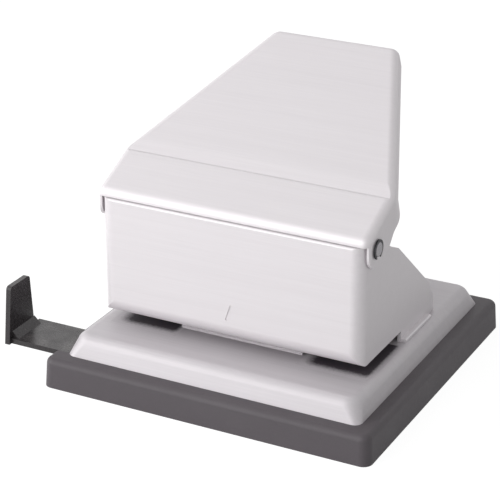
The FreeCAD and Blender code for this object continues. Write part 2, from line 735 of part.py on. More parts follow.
# ---- all pieces -------------------------------------------------------------
os.makedirs("parts", exist_ok=True)
save("chip_tray", chip_tray())
save("rubber_feet", rubber_feet())
save("base_plate", base_plate())
save("paper_table", paper_table())
save("frame_rivets", frame_rivets())
save("housing_rivets", housing_rivets())
save("body_housing", body_housing())
save("punch_frame", punch_frame())
save("axle", axle())
save("handle_shell", handle_shell())
save("paper_guide", paper_guide())
save("guide_leaf", guide_leaf())
for word, side in (("left", -1), ("right", 1)):
    save("die_" + word, die(side))
    save("lower_bush_" + word, lower_bush(side))
    save("upper_bush_" + word, upper_bush(side))
    save("punch_pin_" + word, punch_pin(side))
    save("spring_cap_" + word, spring_cap(side))
    save("pin_ring_" + word, pin_ring(side))
    save("return_spring_" + word, return_spring(side))
    save("axle_clip_" + word, axle_clip(side))
    save("cam_" + word, cam(side))
save("guide_strap_left", guide_strap(strap_x[0]))
save("guide_strap_right", guide_strap(strap_x[1]))
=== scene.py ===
import json
import math

import bmesh
import bpy
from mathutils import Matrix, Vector


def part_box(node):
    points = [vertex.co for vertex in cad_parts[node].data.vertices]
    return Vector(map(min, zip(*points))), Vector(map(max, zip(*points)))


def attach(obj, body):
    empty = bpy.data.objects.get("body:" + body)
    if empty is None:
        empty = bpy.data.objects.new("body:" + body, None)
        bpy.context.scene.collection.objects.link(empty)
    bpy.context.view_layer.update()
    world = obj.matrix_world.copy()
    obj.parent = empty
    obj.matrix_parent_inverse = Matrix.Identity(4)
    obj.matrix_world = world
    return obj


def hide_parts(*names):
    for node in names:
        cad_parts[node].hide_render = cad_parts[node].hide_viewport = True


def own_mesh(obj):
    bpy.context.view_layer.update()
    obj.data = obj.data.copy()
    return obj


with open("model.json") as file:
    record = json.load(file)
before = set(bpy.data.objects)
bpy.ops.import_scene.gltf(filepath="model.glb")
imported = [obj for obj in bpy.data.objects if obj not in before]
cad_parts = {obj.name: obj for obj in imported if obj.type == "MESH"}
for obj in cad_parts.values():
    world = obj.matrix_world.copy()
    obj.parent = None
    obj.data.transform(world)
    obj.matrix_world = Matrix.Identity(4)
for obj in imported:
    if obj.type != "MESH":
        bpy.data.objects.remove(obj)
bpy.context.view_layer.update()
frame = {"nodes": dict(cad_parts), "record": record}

print("frame loaded,", len(frame["nodes"]), "nodes")

mm = 0.001


def boxMiddle(nodeName):
    low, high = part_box(nodeName)
    return (low + high) / 2


# effects that several materials share
def startGroup(name, inputs, outputs):
    tree = bpy.data.node_groups.new(name, "ShaderNodeTree")
    for label, kind, value in inputs:
        socket = tree.interface.new_socket(label, in_out="INPUT", socket_type=kind)
        socket.default_value = value
    for label, kind in outputs:
        tree.interface.new_socket(label, in_out="OUTPUT", socket_type=kind)
    return tree, tree.nodes.new("NodeGroupInput"), tree.nodes.new("NodeGroupOutput")


def addNode(tree, kind, **settings):
    node = tree.nodes.new(kind)
    for key, value in settings.items():
        setattr(node, key, value)
    return node


def mathNode(tree, operation, first, second, clamp=False):
    node = addNode(tree, "ShaderNodeMath", operation=operation, use_clamp=clamp)
    for i, value in enumerate((first, second)):
        if isinstance(value, (int, float)):
            node.inputs[i].default_value = value
        else:
            tree.links.new(value, node.inputs[i])
    return node.outputs[0]


def noiseNode(tree, vector, scale, detail, roughness):
    node = addNode(tree, "ShaderNodeTexNoise")
    node.inputs["Detail"].default_value = detail
    node.inputs["Roughness"].default_value = roughness
    tree.links.new(vector, node.inputs["Vector"])
    if isinstance(scale, (int, float)):
        node.inputs["Scale"].default_value = scale
    else:
        tree.links.new(scale, node.inputs["Scale"])
    return node.outputs["Fac"]


def rangeNode(tree, value, fromLow, fromHigh, toLow, toHigh):
    node = addNode(tree, "ShaderNodeMapRange", clamp=True)
    tree.links.new(value, node.inputs["Value"])
    for label, number in (("From Min", fromLow), ("From Max", fromHigh), ("To Min", toLow), ("To Max", toHigh)):
        if isinstance(number, (int, float)):
            node.inputs[label].default_value = number
        else:
            tree.links.new(number, node.inputs[label])
    return node.outputs["Result"]


def bumpNode(tree, height, strength, distance):
    node = addNode(tree, "ShaderNodeBump")
    tree.links.new(height, node.inputs["Height"])
    for label, value in (("Strength", strength), ("Distance", distance)):
        if isinstance(value, (int, float)):
            node.inputs[label].default_value = value
        else:
            tree.links.new(value, node.inputs[label])
    return node.outputs["Normal"]


def brushMarksGroup():
    # long fine marks that run one way over a sheet
    tree, inner, outer = startGroup("brushMarks", [
        ("Place", "NodeSocketVector", (0, 0, 0)), ("Stretch", "NodeSocketVector", (40, 2500, 2500)),
        ("Depth", "NodeSocketFloat", 0.1)], [("Tone", "NodeSocketFloat"), ("Normal", "NodeSocketVector")])
    scaled = addNode(tree, "ShaderNodeVectorMath", operation="MULTIPLY")
    tree.links.new(inner.outputs["Place"], scaled.inputs[0])
    tree.links.new(inner.outputs["Stretch"], scaled.inputs[1])
    fine = noiseNode(tree, scaled.outputs[0], 1.0, 4.0, 0.65)
    wide = noiseNode(tree, scaled.outputs[0], 0.23, 2.0, 0.5)
    both = mathNode(tree, "MULTIPLY_ADD", fine, 0.6)
    tree.links.new(mathNode(tree, "MULTIPLY", wide, 0.4), both.node.inputs[2])
    tree.links.new(rangeNode(tree, both, 0.3, 0.7, 0.0, 1.0), outer.inputs["Tone"])
    tree.links.new(bumpNode(tree, both, inner.outputs["Depth"], 0.00006), outer.inputs["Normal"])
    return tree


def smudgesGroup():
    # faint handling marks, as a mask
    tree, inner, outer = startGroup("smudges", [
        ("Place", "NodeSocketVector", (0, 0, 0)), ("Size", "NodeSocketFloat", 30.0),
        ("Amount", "NodeSocketFloat", 0.5)], [("Mask", "NodeSocketFloat")])
    broad = noiseNode(tree, inner.outputs["Place"], inner.outputs["Size"], 5.0, 0.6)
    cut = rangeNode(tree, broad, 0.48, 0.72, 0.0, 1.0)
    tree.links.new(mathNode(tree, "MULTIPLY", cut, inner.outputs["Amount"]), outer.inputs["Mask"])
    return tree


def fineGrainGroup():
    # the pebbled skin of moulded plastic or rubber
    tree, inner, outer = startGroup("fineGrain", [
        ("Place", "NodeSocketVector", (0, 0, 0)), ("Size", "NodeSocketFloat", 2600.0),
        ("Depth", "NodeSocketFloat", 0.3)], [("Tone", "NodeSocketFloat"), ("Normal", "NodeSocketVector")])
    cells = addNode(tree, "ShaderNodeTexVoronoi", feature="SMOOTH_F1")
    cells.inputs["Smoothness"].default_value = 0.6
    tree.links.new(inner.outputs["Place"], cells.inputs["Vector"])
    tree.links.new(inner.outputs["Size"], cells.inputs["Scale"])
    soft = noiseNode(tree, inner.outputs["Place"], 900.0, 3.0, 0.55)
    both = mathNode(tree, "ADD", mathNode(tree, "MULTIPLY", cells.outputs["Distance"], 0.5),
                    mathNode(tree, "MULTIPLY", soft, 0.5))
    tree.links.new(both, outer.inputs["Tone"])
    tree.links.new(bumpNode(tree, both, inner.outputs["Depth"], 0.00012), outer.inputs["Normal"])
    return tree


def settledDustGroup():
    # thin dust, only where a surface looks up
    tree, inner, outer = startGroup("settledDust", [
        ("Place", "NodeSocketVector", (0, 0, 0)), ("Amount", "NodeSocketFloat", 0.2)],
        [("Mask", "NodeSocketFloat")])
    geometry = addNode(tree, "ShaderNodeNewGeometry")
    parts = addNode(tree, "ShaderNodeSeparateXYZ")
    tree.links.new(geometry.outputs["Normal"], parts.inputs[0])
    up = rangeNode(tree, parts.outputs["Z"], 0.75, 1.0, 0.0, 1.0)
    patch = rangeNode(tree, noiseNode(tree, inner.outputs["Place"], 140.0, 4.0, 0.6), 0.35, 0.75, 0.0, 1.0)
    tree.links.new(mathNode(tree, "MULTIPLY", mathNode(tree, "MULTIPLY", up, patch), inner.outputs["Amount"]),
                   outer.inputs["Mask"])
    return tree


def turnMarksGroup():
    # rings left by turning or grinding, round an axis along X or Z
    tree, inner, outer = startGroup("turnMarks", [
        ("Place", "NodeSocketVector", (0, 0, 0)), ("Centre", "NodeSocketVector", (0, 0, 0)),
        ("Across", "NodeSocketVector", (1, 1, 0)), ("Fineness", "NodeSocketFloat", 4000.0),
        ("Depth", "NodeSocketFloat", 0.1)], [("Tone", "NodeSocketFloat"), ("Normal", "NodeSocketVector")])
    shifted = addNode(tree, "ShaderNodeVectorMath", operation="SUBTRACT")
    tree.links.new(inner.outputs["Place"], shifted.inputs[0])
    tree.links.new(inner.outputs["Centre"], shifted.inputs[1])
    flat = addNode(tree, "ShaderNodeVectorMath", operation="MULTIPLY")
    tree.links.new(shifted.outputs[0], flat.inputs[0])
    tree.links.new(inner.outputs["Across"], flat.inputs[1])
    far = addNode(tree, "ShaderNodeVectorMath", operation="LENGTH")
    tree.links.new(flat.outputs[0], far.inputs[0])
    along = addNode(tree, "ShaderNodeVectorMath", operation="SUBTRACT")
    tree.links.new(shifted.outputs[0], along.inputs[0])
    tree.links.new(flat.outputs[0], along.inputs[1])
    run = addNode(tree, "ShaderNodeVectorMath", operation="LENGTH")
    tree.links.new(along.outputs[0], run.inputs[0])
    place = addNode(tree, "ShaderNodeCombineXYZ")
    tree.links.new(far.outputs["Value"], place.inputs[0])
    tree.links.new(run.outputs["Value"], place.inputs[1])
    rings = noiseNode(tree, place.outputs[0], inner.outputs["Fineness"], 3.0, 0.6)
    tree.links.new(rangeNode(tree, rings, 0.3, 0.7, 0.0, 1.0), outer.inputs["Tone"])
    tree.links.new(bumpNode(tree, rings, inner.outputs["Depth"], 0.00005), outer.inputs["Normal"])
    return tree


brushMarks = brushMarksGroup()
smudges = smudgesGroup()
fineGrain = fineGrainGroup()
settledDust = settledDustGroup()
turnMarks = turnMarksGroup()
print("shader groups built")


def startMaterial(name, finish):
    material = bpy.data.materials.new(name)
    material.use_nodes = True
    tree = material.node_tree
    shader = tree.nodes["Principled BSDF"]
    for label, value in finish.items():
        shader.inputs[label].default_value = value
    place = addNode(tree, "ShaderNodeTexCoord").outputs["Object"]
    return material, tree, shader, place


def placeGroup(tree, group, place, values):
    node = addNode(tree, "ShaderNodeGroup", node_tree=group)
    tree.links.new(place, node.inputs["Place"])
    for label, value in values.items():
        node.inputs[label].default_value = value
    return node


def mixColour(tree, factor, first, second):
    node = addNode(tree, "ShaderNodeMix", data_type="RGBA")
    colours = [s for s in node.inputs if s.type == "RGBA"]
    tree.links.new(factor, node.inputs[0])
    for socket, colour in zip(colours, (first, second)):
        if isinstance(colour, tuple):
            socket.default_value = (*colour, 1.0)
        else:
            tree.links.new(colour, socket)
    return [s for s in node.outputs if s.type == "RGBA"][0]


def platedSteel(name, finish):
    # satin plated sheet: brushed one way, handled now and then
    material, tree, shader, place = startMaterial(name, {"Metallic": finish["metallic"]})
    brush = placeGroup(tree, brushMarks, place, {"Stretch": finish["stretch"], "Depth": finish["depth"]})
    touched = placeGroup(tree, smudges, place, {"Size": finish["smudgeSize"], "Amount": finish["smudge"]})
    dust = placeGroup(tree, settledDust, place, {"Amount": finish["dust"]})
    colour = mixColour(tree, brush.outputs["Tone"], finish["dark"], finish["light"])
    colour = mixColour(tree, touched.outputs["Mask"], colour, finish["touched"])
    colour = mixColour(tree, dust.outputs["Mask"], colour, finish["dustColour"])
    if finish["paintedShade"]:
        # painted shade: the colour darkens where another sheet stands close, standing in for contact shadow and
        # occlusion
        occlusion = addNode(tree, "ShaderNodeAmbientOcclusion", samples=finish["paintedShadeSamples"])
        occlusion.inputs["Distance"].default_value = finish["paintedShadeReach"]
        paintedShadeMask = rangeNode(tree, occlusion.outputs["AO"], *finish["paintedShadeOpen"], finish["paintedShade"], 0.0)
        colour = mixColour(tree, paintedShadeMask, colour, finish["paintedShadeColour"])
    tree.links.new(colour, shader.inputs["Base Color"])
    rough = rangeNode(tree, brush.outputs["Tone"], 0.0, 1.0, finish["rough"][0], finish["rough"][1])
    handled = mathNode(tree, "MULTIPLY", touched.outputs["Mask"], finish["touchedRough"])
    tree.links.new(mathNode(tree, "ADD", rough, handled, clamp=True), shader.inputs["Roughness"])
    tree.links.new(brush.outputs["Normal"], shader.inputs["Normal"])
    return material


def mouldedPlastic(name, finish):
    material, tree, shader, place = startMaterial(name, {"Specular IOR Level": finish["specular"]})
    grain = placeGroup(tree, fineGrain, place, {"Size": finish["grain"], "Depth": finish["depth"]})
    rubbed = placeGroup(tree, smudges, place, {"Size": finish["smudgeSize"], "Amount": finish["smudge"]})
    dust = placeGroup(tree, settledDust, place, {"Amount": finish["dust"]})
    colour = mixColour(tree, grain.outputs["Tone"], finish["dark"], finish["light"])
    colour = mixColour(tree, rubbed.outputs["Mask"], colour, finish["rubbed"])
    colour = mixColour(tree, dust.outputs["Mask"], colour, finish["dustColour"])
    tree.links.new(colour, shader.inputs["Base Color"])
    rough = rangeNode(tree, grain.outputs["Tone"], 0.2, 0.8, finish["rough"][0], finish["rough"][1])
    polished = mathNode(tree, "MULTIPLY", rubbed.outputs["Mask"], finish["rubbedSmooth"])
    tree.links.new(mathNode(tree, "SUBTRACT", rough, polished), shader.inputs["Roughness"])
    tree.links.new(grain.outputs["Normal"], shader.inputs["Normal"])
    return material


def turnedMetal(name, finish):
    material, tree, shader, place = startMaterial(name, {"Metallic": 1.0})
    rings = placeGroup(tree, turnMarks, place, {"Centre": finish["centre"], "Across": finish["across"],
                                                "Fineness": finish["fineness"], "Depth": finish["depth"]})
    oily = placeGroup(tree, smudges, place, {"Size": finish["oilSize"], "Amount": finish["oil"]})
    colour = mixColour(tree, rings.outputs["Tone"], finish["dark"], finish["light"])
    colour = mixColour(tree, oily.outputs["Mask"], colour, finish["oiled"])
    tree.links.new(colour, shader.inputs["Base Color"])
    rough = rangeNode(tree, rings.outputs["Tone"], 0.0, 1.0, finish["rough"][0], finish["rough"][1])
    wet = mathNode(tree, "MULTIPLY", oily.outputs["Mask"], finish["oilSmooth"])
    tree.links.new(mathNode(tree, "SUBTRACT", rough, wet), shader.inputs["Roughness"])
    tree.links.new(rings.outputs["Normal"], shader.inputs["Normal"])
    return material


sheetFinish = {
    "metallic": 0.35, "stretch": (30.0, 2200.0, 2200.0), "depth": 0.12,
    "smudgeSize": 24.0, "smudge": 0.25, "dust": 0.04,
    "dark": (0.705, 0.672, 0.693), "light": (0.752, 0.721, 0.742), "touched": (0.715, 0.685, 0.705),
    "dustColour": (0.62, 0.60, 0.60), "rough": (0.36, 0.46), "touchedRough": 0.08,
    # painted shade where sheets stand close: off unless a finish sets it
    "paintedShade": 0.0, "paintedShadeReach": 0.007, "paintedShadeOpen": (0.25, 0.7), "paintedShadeSamples": 12,
    "paintedShadeColour": (0.24, 0.215, 0.235),
}
handleFinish = dict(sheetFinish, stretch=(30.0, 1500.0, 1500.0), depth=0.08)
# the base plate carries painted shade near the housing and other sheets that stand close
baseFinish = dict(sheetFinish, metallic=0.2, stretch=(18.0, 1400.0, 1400.0), depth=0.2, paintedShade=0.55,
                  dark=(0.535, 0.508, 0.530), light=(0.605, 0.577, 0.599), touched=(0.55, 0.524, 0.546))
frameFinish = dict(sheetFinish, metallic=0.9, stretch=(300.0, 300.0, 300.0), smudge=0.5,
                   dark=(0.42, 0.42, 0.43), light=(0.55, 0.55, 0.57), touched=(0.5, 0.5, 0.47))
trayFinish = {
    "specular": 0.4, "grain": 2600.0, "depth": 0.35, "smudgeSize": 40.0, "smudge": 0.3, "dust": 0.10,
    "dark": (0.071, 0.062, 0.069), "light": (0.091, 0.080, 0.089), "rubbed": (0.097, 0.086, 0.095),
    "dustColour": (0.17, 0.16, 0.16), "rough": (0.42, 0.6), "rubbedSmooth": 0.1,
}
guideFinish = dict(trayFinish, grain=3400.0, depth=0.2, dark=(0.017, 0.014, 0.015), light=(0.026, 0.022, 0.024),
                   rubbed=(0.036, 0.031, 0.033), rough=(0.22, 0.34), dust=0.6, specular=0.6)
rubberFinish = dict(trayFinish, specular=0.25, dark=(0.022, 0.022, 0.022), light=(0.036, 0.035, 0.035),
                    rubbed=(0.05, 0.05, 0.048), rough=(0.7, 0.85), dust=0.0)
pinMiddle = boxMiddle("punch_pin_left")
axleMiddle = boxMiddle("axle")
groundFinish = {
    "centre": tuple(pinMiddle), "across": (1, 1, 0), "fineness": 5200.0, "depth": 0.1,
    "oil": 0.35, "oilSize": 260.0, "oilSmooth": 0.1,
    "dark": (0.36, 0.36, 0.38), "light": (0.50, 0.50, 0.52), "oiled": (0.30, 0.29, 0.27), "rough": (0.22, 0.34),
}
axleFinish = dict(groundFinish, centre=tuple(axleMiddle), across=(0, 1, 1),
                  dark=(0.24, 0.23, 0.25), light=(0.36, 0.35, 0.37))
brassFinish = dict(groundFinish, dark=(0.62, 0.45, 0.2), light=(0.74, 0.58, 0.3), oiled=(0.5, 0.36, 0.16))
zincFinish = dict(groundFinish, dark=(0.46, 0.46, 0.48), light=(0.58, 0.58, 0.6), oil=0.15, rough=(0.3, 0.42))
clipFinish = dict(axleFinish, dark=(0.03, 0.03, 0.034), light=(0.06, 0.06, 0.066), oiled=(0.02, 0.02, 0.02),
                  rough=(0.35, 0.5))
springFinish = dict(groundFinish, dark=(0.3, 0.3, 0.33), light=(0.42, 0.42, 0.46), rough=(0.25, 0.36))

finishes = {
    "housing_steel": platedSteel("satinHousing", sheetFinish),
    "handle_steel": platedSteel("satinHandle", handleFinish),
    "base_steel": platedSteel("brushedBase", baseFinish),
    "frame_steel": platedSteel("zincSheet", frameFinish),
    "tray_plastic": mouldedPlastic("trayPlastic", trayFinish),
    "guide_plastic": mouldedPlastic("guidePlastic", guideFinish),
    "foot_rubber": mouldedPlastic("footRubber", rubberFinish),
    "hard_steel": turnedMetal("groundSteel", groundFinish),
    "axle_steel": turnedMetal("turnedAxle", axleFinish),
    "bush_brass": turnedMetal("turnedBrass", brassFinish),
    "fastener_steel": turnedMetal("zincRivet", zincFinish),
    "clip_steel": turnedMetal("blackClip", clipFinish),
    "spring_steel": turnedMetal("drawnWire", springFinish),
}
slotOf = {part["node"]: part["material_slot"] for part in frame["record"]["subparts"]}
for nodeName, node in frame["nodes"].items():
    if not node.data.materials:
        node.data.materials.append(None)
    for slot in node.material_slots:
        slot.link = "OBJECT"
        slot.material = finishes[slotOf[nodeName]]
print("materials placed on", len(slotOf), "nodes")


treeSharp = 38   # degrees: a steeper crease stays sharp
shadowSheetSharp = 35


def geometryTree(name, inputs):
    tree = bpy.data.node_groups.new(name, "GeometryNodeTree")
    tree.interface.new_socket("Geometry", in_out="OUTPUT", socket_type="NodeSocketGeometry")
    for label, kind, value in inputs:
        socket = tree.interface.new_socket(label, in_out="INPUT", socket_type=kind)
        socket.default_value = value
    return tree, tree.nodes.new("NodeGroupInput"), tree.nodes.new("NodeGroupOutput")


def closeTree(tree, geometry, outer, material):
    real = addNode(tree, "GeometryNodeRealizeInstances")
    tree.links.new(geometry, real.inputs[0])
    painted = addNode(tree, "GeometryNodeSetMaterial")
    painted.inputs["Material"].default_value = material
    tree.links.new(real.outputs[0], painted.inputs["Geometry"])
    tree.links.new(painted.outputs[0], outer.inputs["Geometry"])


def placePiece(name, mesh, sharpDegrees, body):
    for polygon in mesh.polygons:
        polygon.use_smooth = True
    mesh.set_sharp_from_angle(angle=math.radians(sharpDegrees))
    piece = bpy.data.objects.new(name, mesh)
    bpy.context.scene.collection.objects.link(piece)
    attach(piece, body)
    return piece


def pieceFromTree(name, tree, values, body):
    carrier = bpy.data.objects.new(name + "Carrier", bpy.data.meshes.new(name + "Carrier"))
    bpy.context.scene.collection.objects.link(carrier)
    modifier = carrier.modifiers.new("build", "NODES")
    modifier.node_group = tree
    sockets = {s.name: s.identifier for s in tree.interface.items_tree if s.in_out == "INPUT"}
    for label, value in values.items():
        modifier[sockets[label]] = value
    graph = bpy.context.evaluated_depsgraph_get()
    mesh = bpy.data.meshes.new_from_object(carrier.evaluated_get(graph), preserve_all_data_layers=True,
                                           depsgraph=graph)
    bpy.data.objects.remove(carrier)
    return placePiece(name, mesh, treeSharp, body)


def latheSource(name, profile, steps):
    # a closed turned shape about Z, from (radius, height) points, lowest first
    mesh = bpy.data.meshes.new(name)
    shape = bmesh.new()
    rings = []
    for radius, height in profile:
        if radius == 0:
            rings.append([shape.verts.new((0, 0, height))])
        else:
            turn = [2 * math.pi * i / steps for i in range(steps)]
            rings.append([shape.verts.new((radius * math.cos(a), radius * math.sin(a), height)) for a in turn])
    for low, high in zip(rings, rings[1:]):
        for i in range(steps):
            j = (i + 1) % steps
            corners = [low[i % len(low)], low[j % len(low)], high[j % len(high)], high[i % len(high)]]
            shape.faces.new(list(dict.fromkeys(corners)))
    bmesh.ops.recalc_face_normals(shape, faces=shape.faces)
    shape.to_mesh(mesh)
    shape.free()
    source = bpy.data.objects.new(name, mesh)
    bpy.context.scene.collection.objects.link(source)
    return source


springSizes = {"turns": 3.0, "coilRadius": 4.15, "wireRadius": 0.55, "stepsPerTurn": 40, "wireSteps": 12,
               "dead": 0.13,        # share of the height that lies flat at each end
               "capDepth": 2.6}     # the spring's head stands this far under the cap's top


def springTree():
    # a wire wound up a helix whose two ends lie flat
    tree, inner, outer = geometryTree("woundSpring", [
        ("Foot", "NodeSocketVector", (0, 0, 0)), ("Height", "NodeSocketFloat", 0.01),
        ("Turns", "NodeSocketFloat", 4.0), ("Coil Radius", "NodeSocketFloat", 0.004),
        ("Wire Radius", "NodeSocketFloat", 0.0005), ("Dead", "NodeSocketFloat", 0.1)])
    spiral = addNode(tree, "GeometryNodeCurveSpiral")
    spiral.inputs["Resolution"].default_value = springSizes["stepsPerTurn"]
    spiral.inputs["Height"].default_value = 1.0
    tree.links.new(inner.outputs["Turns"], spiral.inputs["Rotations"])
    tree.links.new(inner.outputs["Coil Radius"], spiral.inputs["Start Radius"])
    tree.links.new(inner.outputs["Coil Radius"], spiral.inputs["End Radius"])
    position = addNode(tree, "GeometryNodeInputPosition")
    parts = addNode(tree, "ShaderNodeSeparateXYZ")
    tree.links.new(position.outputs[0], parts.inputs[0])
    lower = inner.outputs["Dead"]
    upper = mathNode(tree, "SUBTRACT", 1.0, lower)
    rise = mathNode(tree, "SUBTRACT", inner.outputs["Height"],
                    mathNode(tree, "MULTIPLY", inner.outputs["Wire Radius"], 2.0))
    level = rangeNode(tree, parts.outputs["Z"], lower, upper, 0.0, rise)
    level = mathNode(tree, "ADD", level, inner.outputs["Wire Radius"])
    joined = addNode(tree, "ShaderNodeCombineXYZ")
    tree.links.new(parts.outputs["X"], joined.inputs[0])
    tree.links.new(parts.outputs["Y"], joined.inputs[1])
    tree.links.new(level, joined.inputs[2])
    moved = addNode(tree, "GeometryNodeSetPosition")
    tree.links.new(spiral.outputs[0], moved.inputs["Geometry"])
    tree.links.new(joined.outputs[0], moved.inputs["Position"])
    tree.links.new(inner.outputs["Foot"], moved.inputs["Offset"])
    wire = addNode(tree, "GeometryNodeCurvePrimitiveCircle")
    wire.inputs["Resolution"].default_value = springSizes["wireSteps"]
    tree.links.new(inner.outputs["Wire Radius"], wire.inputs["Radius"])
    swept = addNode(tree, "GeometryNodeCurveToMesh")
    swept.inputs["Fill Caps"].default_value = True
    tree.links.new(moved.outputs[0], swept.inputs["Curve"])
    tree.links.new(wire.outputs[0], swept.inputs["Profile Curve"])
    closeTree(tree, swept.outputs[0], outer, finishes["spring_steel"])
    return tree


woundSpring = springTree()
for side in ("left", "right"):
    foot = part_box("upper_bush_" + side)[1].z
    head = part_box("spring_cap_" + side)[1].z - springSizes["capDepth"] * mm
    pin = boxMiddle("punch_pin_" + side)
    spring = pieceFromTree("spring_" + side, woundSpring, {
        "Foot": (pin.x, pin.y, foot), "Height": head - foot, "Turns": springSizes["turns"],
        "Coil Radius": springSizes["coilRadius"] * mm, "Wire Radius": springSizes["wireRadius"] * mm,
        "Dead": springSizes["dead"]}, "punch_" + side)
    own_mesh(spring)
    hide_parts("return_spring_" + side)
print("springs wound")


def spreadTree(name, source, material):
    # one turned shape, set at each point of a grid
    tree, inner, outer = geometryTree(name, [
        ("Middle", "NodeSocketVector", (0, 0, 0)), ("Reach", "NodeSocketVector", (1, 1, 0)),
        ("Columns", "NodeSocketInt", 2), ("Rows", "NodeSocketInt", 2)])
    grid = addNode(tree, "GeometryNodeMeshGrid")
    parts = addNode(tree, "ShaderNodeSeparateXYZ")
    tree.links.new(inner.outputs["Reach"], parts.inputs[0])
    tree.links.new(parts.outputs["X"], grid.inputs["Size X"])
    tree.links.new(parts.outputs["Y"], grid.inputs["Size Y"])
    tree.links.new(inner.outputs["Columns"], grid.inputs["Vertices X"])
    tree.links.new(inner.outputs["Rows"], grid.inputs["Vertices Y"])
    moved = addNode(tree, "GeometryNodeSetPosition")
    tree.links.new(grid.outputs[0], moved.inputs["Geometry"])
    tree.links.new(inner.outputs["Middle"], moved.inputs["Offset"])
    shape = addNode(tree, "GeometryNodeObjectInfo")
    shape.inputs["Object"].default_value = source
    copies = addNode(tree, "GeometryNodeInstanceOnPoints")
    tree.links.new(moved.outputs[0], copies.inputs["Points"])
    tree.links.new(shape.outputs["Geometry"], copies.inputs["Instance"])
    closeTree(tree, copies.outputs[0], outer, material)
    return tree


footSizes = {"radius": 6.0, "edge": 0.4, "topEdge": 0.05, "steps": 48,
             "grooves": (1.6, 3.0, 4.4), "grooveWide": 0.35, "grooveDeep": 0.3}


def footProfile(sizes, height):
    points = [(0, 0.0)]
    for radius in sizes["grooves"]:
        half = sizes["grooveWide"] / 2
        points += [(radius - half, 0.0), (radius - half * 0.5, sizes["grooveDeep"]),
                   (radius + half * 0.5, sizes["grooveDeep"]), (radius + half, 0.0)]
    outer, edge, topEdge = sizes["radius"], sizes["edge"], sizes["topEdge"]
    points += [(outer - edge, 0.0), (outer - edge * 0.3, edge * 0.3), (outer, edge),
               (outer, height - topEdge), (outer - topEdge, height), (0, height)]
    return [(r * mm, z * mm) for r, z in points]


feetLow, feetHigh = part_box("rubber_feet")
footHeight = (feetHigh.z - feetLow.z) / mm
footSource = latheSource("footSource", footProfile(footSizes, footHeight), footSizes["steps"])
footTree = spreadTree("ribbedFeet", footSource, finishes["foot_rubber"])
reach = 2 * footSizes["radius"] * mm
feet = pieceFromTree("ribbed_feet", footTree, {
    "Middle": ((feetLow.x + feetHigh.x) / 2, (feetLow.y + feetHigh.y) / 2, 0.0),
    "Reach": (feetHigh.x - feetLow.x - reach, feetHigh.y - feetLow.y - reach, 0.0)}, "tray")
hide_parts("rubber_feet")
bpy.data.objects.remove(footSource)
print("feet set")


# the two dark sheets that paint the shadow in the paper slot differ: the fade of each is set by its side, -1
# left and 1 right
shadowSheetSizes = {"innerEnd": {-1: 25.5, 1: 28.0}, "outerEnd": {-1: 55.5, 1: 58.6}, "front": 2.8, "deep": 18.0,
            "sideDeep": 36.5, "sideWide": 7.0, "high": 0.3, "thin": 0.02, "cells": 0.8}
shadowSheetFade = {"front": 5.6, "inner": {-1: 3.2, 1: 7.0}, "outer": {-1: 8.0, 1: 2.0}, "back": 2.0}


def shadowSheetMaterial(name, finish, fadeTo):
    # painted shadow: a dark rubber skin whose colour fades round its border to the plate's own colour, so the
    # painted shade ends softly
    material = mouldedPlastic(name, finish)
    tree = material.node_tree
    shader = tree.nodes["Principled BSDF"]
    link = shader.inputs["Base Color"].links[0]
    border = addNode(tree, "ShaderNodeAttribute", attribute_name="shadeCover")
    place = addNode(tree, "ShaderNodeTexCoord").outputs["Object"]
    ragged = mathNode(tree, "MULTIPLY_ADD", noiseNode(tree, place, fadeTo["speck"], 3.0, 0.6), fadeTo["ragged"])
    middle = mathNode(tree, "SUBTRACT", border.outputs["Fac"], fadeTo["ragged"] / 2)
    tree.links.new(middle, ragged.node.inputs[2])
    shadeCover = rangeNode(tree, ragged, *fadeTo["from"], 0.0, 1.0)
    tree.links.new(mixColour(tree, shadeCover, fadeTo["colour"], link.from_socket), shader.inputs["Base Color"])
    tree.links.new(rangeNode(tree, shadeCover, 0.0, 1.0, fadeTo["metallic"], 0.0), shader.inputs["Metallic"])
    return material


